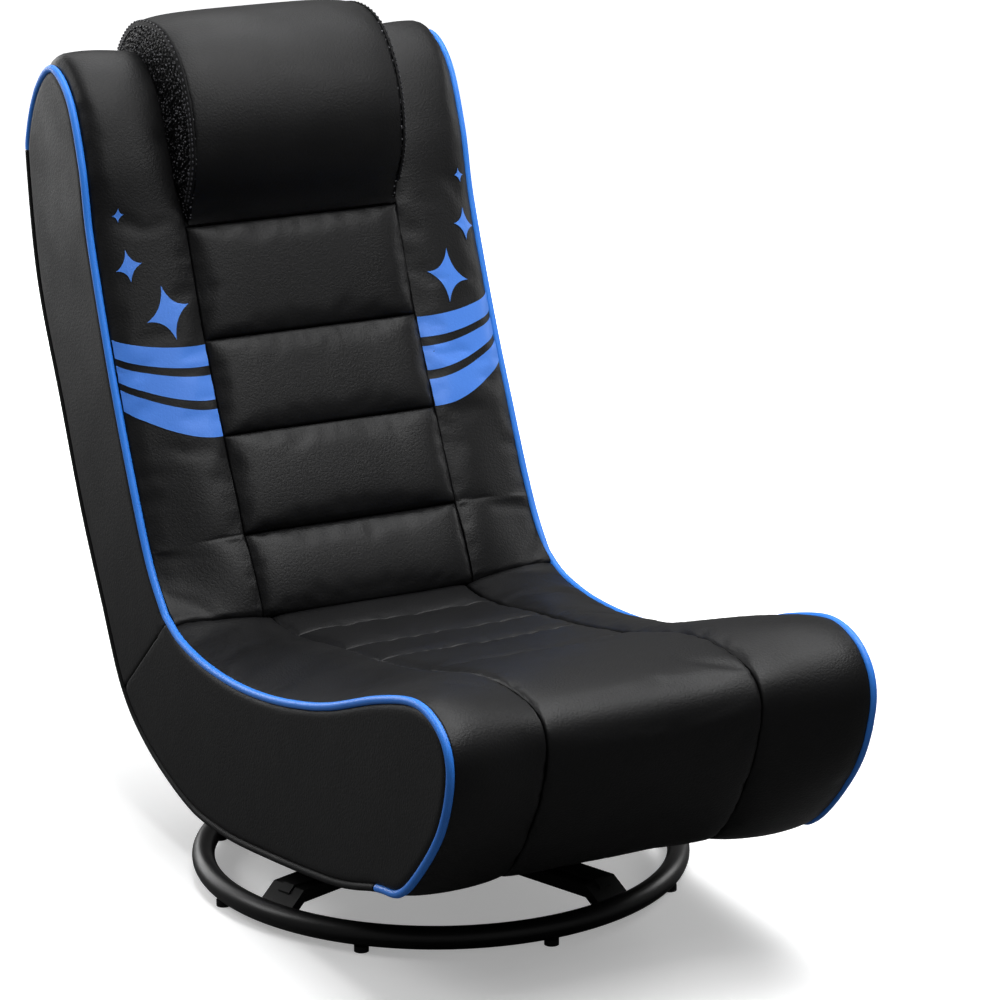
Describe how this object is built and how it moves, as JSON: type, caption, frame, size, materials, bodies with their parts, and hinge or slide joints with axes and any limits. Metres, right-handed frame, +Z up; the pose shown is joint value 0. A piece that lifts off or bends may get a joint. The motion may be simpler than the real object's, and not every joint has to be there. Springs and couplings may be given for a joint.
{
  "type": "floor gaming chair",
  "caption": "Legless padded floor chair: channelled seat and backrest that folds forward at the crease, sewn-on headrest, and a round steel tube base that it turns on.",
  "frame": {"origin": "on the floor under the middle of the bounding box; the swivel axis is 35 mm in front of it", "axes": "+X to the sitter's left, +Y to the rear, +Z up; the chair faces -Y"},
  "size_m": [0.4819, 0.9584, 0.7755],
  "materials": {
    "base_steel": "black powder coat, semi-gloss",
    "foot_plastic": "moulded plastic",
    "zinc_steel": "zinc plated",
    "cage_brass": "pressed",
    "washer_nylon": "nylon",
    "frame_steel": "black paint",
    "foam": "open-cell foam",
    "black_leather": "fine-grained synthetic leather, satin",
    "side_leather": "fine-grained synthetic leather, matt",
    "blue_piping": "synthetic leather piping, satin",
    "black_welt": "synthetic leather welt",
    "lining_cloth": "woven lining cloth",
    "spacer_mesh": "knitted spacer mesh"
  },
  "bodies": {
    "base": {"base_ring": "base_steel", "base_arms": "base_steel", "base_feet": "foot_plastic", "swivel_lower_plate": "zinc_steel", "swivel_balls": "zinc_steel", "swivel_cage": "cage_brass", "swivel_rivet": "zinc_steel"},
    "seat": {"swivel_upper_plate": "zinc_steel", "swivel_spacers": "zinc_steel", "swivel_bolts": "zinc_steel", "swivel_nuts": "zinc_steel", "seat_frame": "frame_steel", "seat_hinge_plates": "zinc_steel", "hinge_pins": "zinc_steel", "hinge_nuts": "zinc_steel", "hinge_washers": "washer_nylon", "seat_foam": "foam", "seat_centre_panel": "black_leather", "seat_front_roll": "black_leather", "seat_wing_left": "black_leather", "seat_wing_right": "black_leather", "seat_side_left": "side_leather", "seat_side_right": "side_leather", "seat_piping_left": "blue_piping", "seat_piping_right": "blue_piping", "seat_welt_left": "black_welt", "seat_welt_right": "black_welt", "seat_bottom_cover": "lining_cloth", "seat_end_cover": "lining_cloth", "crease_strip": "black_leather"},
    "backrest": {"back_frame": "frame_steel", "back_hinge_plates": "zinc_steel", "back_foam": "foam", "back_centre_panel": "black_leather", "back_top_panel": "black_leather", "back_bolster_left": "black_leather", "back_bolster_right": "black_leather", "back_side_left": "side_leather", "back_side_right": "side_leather", "back_piping_left": "blue_piping", "back_piping_right": "blue_piping", "back_welt_left": "black_welt", "back_welt_right": "black_welt", "back_rear_panel": "side_leather", "back_end_cover": "lining_cloth", "headrest_pillow": "black_leather", "headrest_gusset_left": "spacer_mesh", "headrest_gusset_right": "spacer_mesh"}
  },
  "joints": [
    {"name": "swivel", "type": "hinge", "parent": "base", "child": "seat", "pos_m": [0, -0.035, 0.0425], "axis": [0, 0, 1], "continuous": true},
    {"name": "fold", "type": "hinge", "parent": "seat", "child": "backrest", "pos_m": [0, 0.139, 0.216], "axis": [1, 0, 0], "range_deg": [0, 93]}
  ]
}
